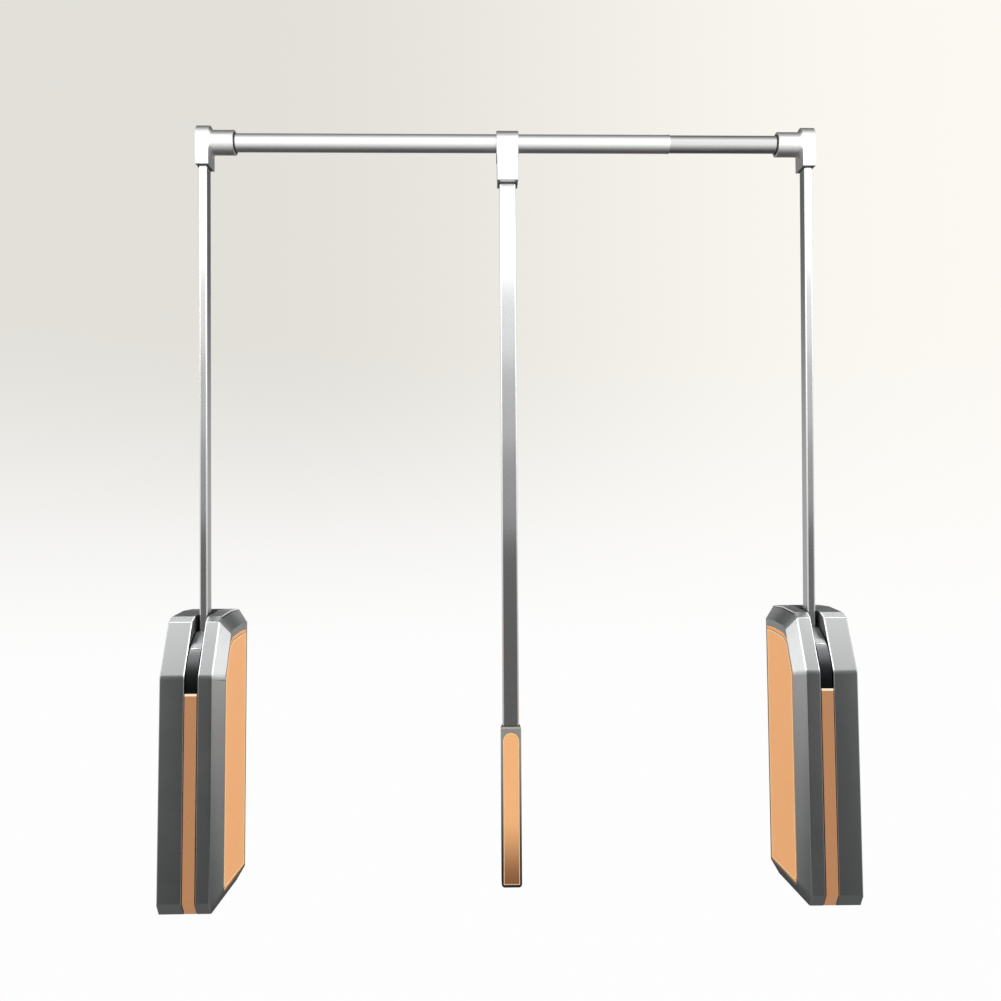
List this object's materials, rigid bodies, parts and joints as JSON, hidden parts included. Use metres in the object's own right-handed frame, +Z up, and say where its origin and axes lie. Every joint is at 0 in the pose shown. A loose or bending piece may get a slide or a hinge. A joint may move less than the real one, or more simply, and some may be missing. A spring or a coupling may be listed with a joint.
{
  "type": "pull down closet rod",
  "caption": "Pull-down wardrobe rail: wall housings carry arms that swing a telescopic hanging rail down and forward by a hanging handle, with gas spring lift.",
  "frame": {"origin": "midway between the two wall faces, at the middle of the housings' depth, level with the underside of the housings", "axes": "+X to the right along the rail, -Y towards the person, +Z up"},
  "size_m": [0.742, 0.11, 0.8544],
  "materials": {
    "housing_grey": "dark grey metallic paint on plastic",
    "zinc_steel": "zinc-plated steel",
    "dark_plastic": "moulded black",
    "tan_leather": "grained tan",
    "bush_plastic": "natural acetal",
    "steel_screws": "zinc-plated steel",
    "buffer_rubber": "moulded black",
    "black_paint": "satin black",
    "drum_paint": "satin grey",
    "satin_aluminium": "satin anodised",
    "satin_casting": "satin blasted",
    "hard_chrome": "polished",
    "grip_paint": "dark grey metallic",
    "bright_ring": "polished"
  },
  "bodies": {
    "left_housing": {"left_outer_shell": "housing_grey", "left_mounting_plate": "zinc_steel", "left_inner_shell": "housing_grey", "left_slot_spine": "dark_plastic", "left_front_strip": "tan_leather", "left_side_panel": "tan_leather", "left_outer_bush": "bush_plastic", "left_inner_bush": "bush_plastic", "left_shell_screws": "steel_screws", "left_stop_buffers": "buffer_rubber", "left_gas_cylinder": "black_paint", "left_rack_guide": "dark_plastic", "left_damper_body": "dark_plastic"},
    "left_frame": {"left_arm_drum": "drum_paint", "left_arm_pins": "steel_screws", "left_pivot_shaft": "zinc_steel", "left_lift_gear": "zinc_steel", "left_damper_gear": "bush_plastic", "left_arm_tube": "satin_aluminium", "left_arm_connector": "satin_casting", "left_connector_screw": "steel_screws", "rail_outer_tube": "satin_aluminium", "rail_end_ring": "bright_ring"},
    "left_rack": {"left_lift_rack": "zinc_steel", "left_gas_rod": "hard_chrome"},
    "left_pinion": {"left_damper_pinion": "zinc_steel"},
    "right_housing": {"right_outer_shell": "housing_grey", "right_mounting_plate": "zinc_steel", "right_inner_shell": "housing_grey", "right_slot_spine": "dark_plastic", "right_front_strip": "tan_leather", "right_side_panel": "tan_leather", "right_outer_bush": "bush_plastic", "right_inner_bush": "bush_plastic", "right_shell_screws": "steel_screws", "right_stop_buffers": "buffer_rubber", "right_gas_cylinder": "black_paint", "right_rack_guide": "dark_plastic", "right_damper_body": "dark_plastic"},
    "right_frame": {"right_arm_drum": "drum_paint", "right_arm_pins": "steel_screws", "right_pivot_shaft": "zinc_steel", "right_lift_gear": "zinc_steel", "right_damper_gear": "bush_plastic", "right_arm_tube": "satin_aluminium", "right_arm_connector": "satin_casting", "right_connector_screw": "steel_screws", "rail_inner_tube": "satin_aluminium"},
    "right_rack": {"right_lift_rack": "zinc_steel", "right_gas_rod": "hard_chrome"},
    "right_pinion": {"right_damper_pinion": "zinc_steel"},
    "handle": {"handle_bracket": "satin_casting", "bracket_bush": "dark_plastic", "bracket_screw": "steel_screws", "handle_bar": "satin_aluminium", "grip_shell": "grip_paint", "grip_insert": "tan_leather", "grip_screw": "steel_screws"}
  },
  "joints": [
    {"name": "arm_swing", "type": "hinge", "parent": "left_housing", "child": "left_frame", "pos_m": [0, 0, 0.24], "axis": [1, 0, 0], "range_deg": [0, 81], "stiffness_Nm_per_rad": 6, "springref_deg": -17.19},
    {"name": "width_adjust", "type": "slide", "parent": "left_housing", "child": "right_housing", "axis": [1, 0, 0], "range_m": [-0.11, 0.09]},
    {"name": "arm_swing_right", "type": "hinge", "parent": "right_housing", "child": "right_frame", "pos_m": [0, 0, 0.24], "axis": [1, 0, 0], "range_deg": [0, 81], "stiffness_Nm_per_rad": 6, "springref_deg": -17.19},
    {"name": "left_rack_slide", "type": "slide", "parent": "left_housing", "child": "left_rack", "axis": [0, 0, -1], "range_m": [0, 0.032]},
    {"name": "left_pinion_spin", "type": "hinge", "parent": "left_housing", "child": "left_pinion", "pos_m": [0, 0, 0.21], "axis": [1, 0, 0], "range_deg": [-190, 0]},
    {"name": "right_rack_slide", "type": "slide", "parent": "right_housing", "child": "right_rack", "axis": [0, 0, -1], "range_m": [0, 0.032]},
    {"name": "right_pinion_spin", "type": "hinge", "parent": "right_housing", "child": "right_pinion", "pos_m": [0, 0, 0.21], "axis": [1, 0, 0], "range_deg": [-190, 0]},
    {"name": "handle_swing", "type": "hinge", "parent": "left_frame", "child": "handle", "pos_m": [0, -0.02706, 0.836], "axis": [1, 0, 0], "range_deg": [-100, 30]}
  ],
  "couplings": [
    {"joint": "arm_swing_right", "follows": "arm_swing", "ratio": 1},
    {"joint": "left_rack_slide", "follows": "arm_swing", "m_per_rad": 0.0225},
    {"joint": "left_pinion_spin", "follows": "arm_swing", "ratio": -2.3333},
    {"joint": "right_rack_slide", "follows": "arm_swing", "m_per_rad": 0.0225},
    {"joint": "right_pinion_spin", "follows": "arm_swing", "ratio": -2.3333}
  ]
}
